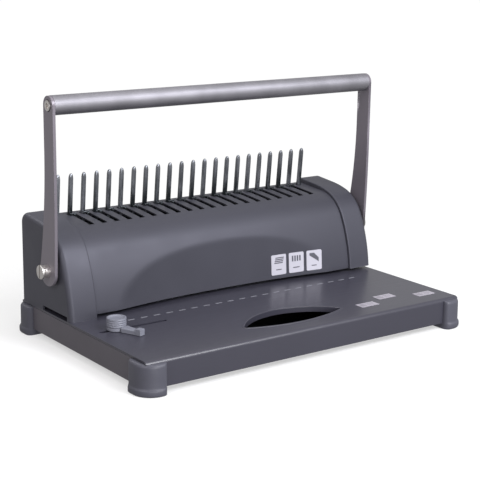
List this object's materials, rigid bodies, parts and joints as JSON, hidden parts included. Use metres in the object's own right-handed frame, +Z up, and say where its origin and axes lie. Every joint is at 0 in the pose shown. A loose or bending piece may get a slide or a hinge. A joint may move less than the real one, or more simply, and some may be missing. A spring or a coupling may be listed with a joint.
{
  "type": "comb binding machine",
  "caption": "Manual comb binding machine: a pull-down handle punches paper edges and slides hooks that open a plastic comb on upright fingers.",
  "frame": {"origin": "centre of the machine's footprint, at ground level under the feet", "axes": "+X to the user's right along the punching line, +Y to the rear, +Z up; the user stands at -Y"},
  "size_m": [0.397, 0.246, 0.2402],
  "materials": {
    "housing": "dark slate grey, semi-gloss moulded",
    "table": "dark slate enamel, glossy",
    "skirt": "dark grey, fine texture",
    "base_steel": "dark grey, matt",
    "foot": "blue-grey moulded foot",
    "bright_steel": "bright plated",
    "plated_steel": "zinc plated sheet",
    "tool_steel": "ground tool steel",
    "spring_steel": "drawn wire",
    "arm": "dark violet-grey lacquer on steel",
    "grip": "satin anodised, lilac-silver",
    "washer": "natural nylon",
    "bush": "sintered bronze",
    "zinc": "bright zinc plate",
    "finger": "dark plated steel",
    "plate": "pale blank label plate",
    "mark": "printed mark",
    "guide": "light blue-grey moulded",
    "tray": "dark grey"
  },
  "bodies": {
    "base": {"table_top": "table", "side_skirt_left": "skirt", "side_skirt_right": "skirt", "rear_skirt": "skirt", "bottom_plate": "base_steel", "foot_front_left": "foot", "foot_front_right": "foot", "foot_rear_left": "foot", "foot_rear_right": "foot", "foot_screws": "bright_steel", "side_frame_left": "plated_steel", "side_frame_right": "plated_steel", "tie_rods": "bright_steel", "frame_screws": "bright_steel", "lower_die": "tool_steel", "stripper_plate": "tool_steel", "paper_stop": "plated_steel", "guide_posts": "bright_steel", "punch_springs": "spring_steel", "shaft_bushes": "bush", "pinion_studs": "bright_steel", "finger_plate": "plated_steel", "comb_fingers": "finger", "centre_shell": "housing", "rear_cover": "housing", "rear_screws": "bright_steel", "end_cap_left": "housing", "end_cap_right": "housing", "function_plates": "plate", "table_marks": "mark"},
    "handle": {"handle_arm_left": "arm", "handle_arm_right": "arm", "grip_tube": "grip", "grip_screws": "bright_steel", "pivot_bolts": "bright_steel", "drive_shaft": "tool_steel", "shaft_washers": "washer", "punch_cams": "tool_steel", "drive_sector_left": "tool_steel", "drive_sector_right": "tool_steel"},
    "punch": {"punch_bar": "tool_steel", "punch_pins": "tool_steel"},
    "opener": {"hook_carrier": "plated_steel", "comb_hooks": "zinc", "carrier_rack_left": "plated_steel", "carrier_rack_right": "plated_steel"},
    "pinion_l": {"pinion_left": "bush"},
    "pinion_r": {"pinion_right": "bush"},
    "guide": {"edge_guide": "guide", "guide_nut": "bright_steel"},
    "knob": {"guide_knob": "guide"},
    "tray": {"chip_tray": "tray"}
  },
  "joints": [
    {"name": "handle_pull", "type": "hinge", "parent": "base", "child": "handle", "pos_m": [0, 0.049, 0.075], "axis": [1, 0, 0], "range_deg": [0, 85], "stiffness_Nm_per_rad": 0.8, "springref_deg": -40.11},
    {"name": "punch_slide", "type": "slide", "parent": "base", "child": "punch", "axis": [0, 0, -1], "range_m": [0, 0.0062], "deforming": ["punch_springs"]},
    {"name": "hook_slide", "type": "slide", "parent": "base", "child": "opener", "axis": [0, -1, 0], "range_m": [0, 0.0297]},
    {"name": "pinion_left_spin", "type": "hinge", "parent": "base", "child": "pinion_l", "pos_m": [-0.1725, 0.079, 0.075], "axis": [1, 0, 0], "range_deg": [-170.5, 0]},
    {"name": "pinion_right_spin", "type": "hinge", "parent": "base", "child": "pinion_r", "pos_m": [0.1725, 0.079, 0.075], "axis": [1, 0, 0], "range_deg": [-170.5, 0]},
    {"name": "edge_guide_slide", "type": "slide", "parent": "base", "child": "guide", "axis": [1, 0, 0], "range_m": [-0.0095, 0.0455]},
    {"name": "guide_knob_turn", "type": "hinge", "parent": "guide", "child": "knob", "pos_m": [-0.158, -0.022, 0.04], "axis": [0, 0, 1], "range_deg": [0, 180]},
    {"name": "chip_tray_pull", "type": "slide", "parent": "base", "child": "tray", "axis": [1, 0, 0], "range_m": [0, 0.28]}
  ],
  "couplings": [
    {"joint": "punch_slide", "follows": "handle_pull", "m_per_rad": 0.004179},
    {"joint": "hook_slide", "follows": "handle_pull", "m_per_rad": 0.02},
    {"joint": "pinion_left_spin", "follows": "handle_pull", "ratio": -2},
    {"joint": "pinion_right_spin", "follows": "handle_pull", "ratio": -2}
  ]
}
